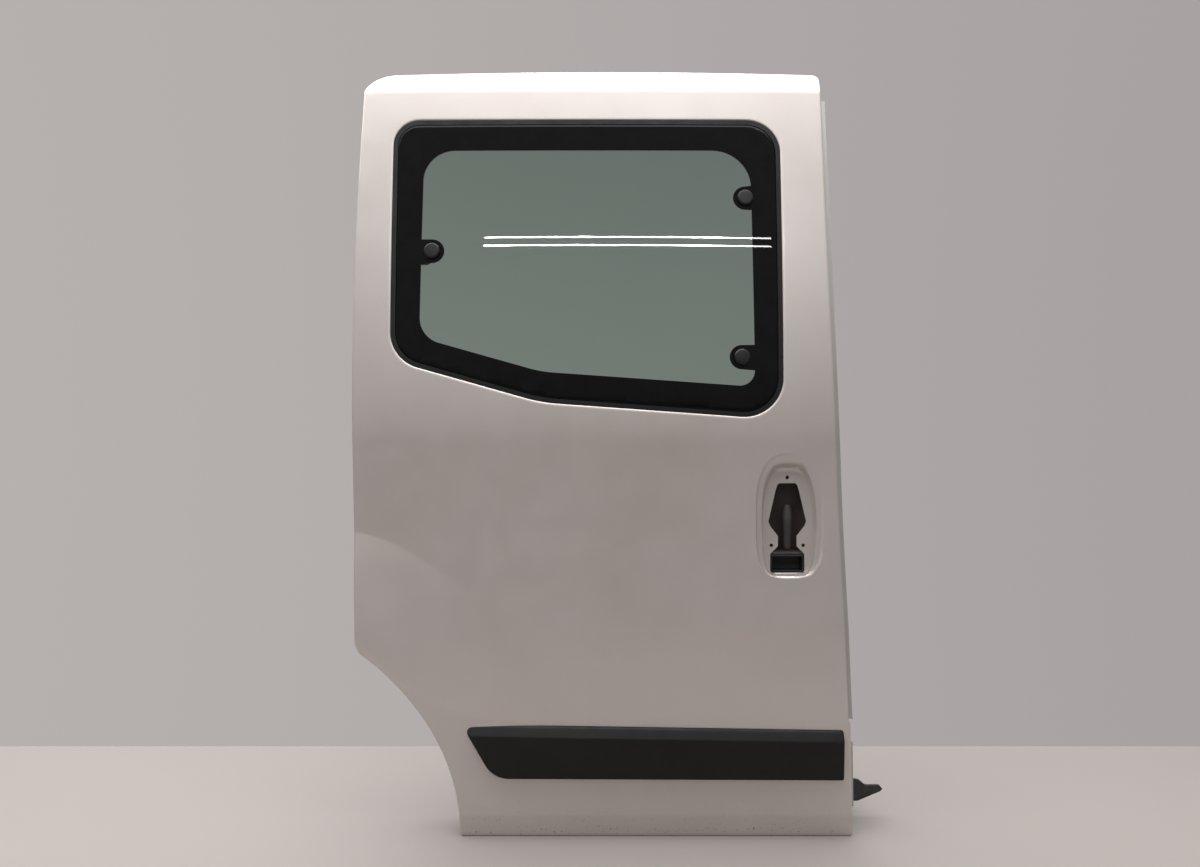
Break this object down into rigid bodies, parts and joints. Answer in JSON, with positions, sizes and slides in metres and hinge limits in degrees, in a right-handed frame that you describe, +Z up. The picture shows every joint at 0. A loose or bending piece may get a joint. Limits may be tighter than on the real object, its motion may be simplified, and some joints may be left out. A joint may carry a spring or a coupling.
{
  "type": "van sliding door",
  "caption": "Right-hand rear sliding door of a compact van with fixed tinted window, wheel-arch cut, black side moulding and an empty oval handle recess.",
  "frame": {"origin": "centre of the flat inboard face of the centre hinge plate, on the inner side near the rear edge", "axes": "+X towards the front of the vehicle, +Y into the vehicle, +Z up"},
  "size_m": [0.8538, 0.208, 1.2299],
  "materials": {
    "body_paint": "silver metallic paint, worn",
    "inner_paint": "silver paint, thin coat",
    "glass": "green tinted safety glass with black border",
    "rubber": "black rubber",
    "cap_plastic": "black, slightly glossy",
    "black_steel": "black coated steel",
    "black_plastic": "black moulded plastic",
    "grey_plastic": "dark grey moulded plastic",
    "moulding_plastic": "black grained plastic",
    "plated_steel": "zinc plated steel"
  },
  "bodies": {
    "root": {"outer_skin": "body_paint", "inner_lower_panel": "inner_paint", "inner_window_frame": "inner_paint", "front_lip_upper": "inner_paint", "front_lip_lower": "inner_paint", "window_glass": "glass", "window_seal": "rubber", "window_cap_upper": "cap_plastic", "window_cap_lower": "cap_plastic", "window_cap_rear": "cap_plastic", "window_hinge_upper": "black_steel", "window_hinge_lower": "black_steel", "window_latch_base": "black_plastic", "window_latch_lever": "black_plastic", "side_moulding": "moulding_plastic", "handle_unit": "grey_plastic", "handle_tray": "black_plastic", "release_unit": "black_plastic", "front_latch": "plated_steel", "rear_latch": "plated_steel", "latch_rod": "plated_steel", "intrusion_beam": "black_steel", "centre_hinge_plate": "inner_paint", "upper_arm_plate": "inner_paint", "lower_arm": "black_steel", "door_stop_1": "rubber", "door_stop_2": "rubber", "panel_plug_1": "rubber", "panel_plug_2": "rubber"}
  },
  "joints": []
}
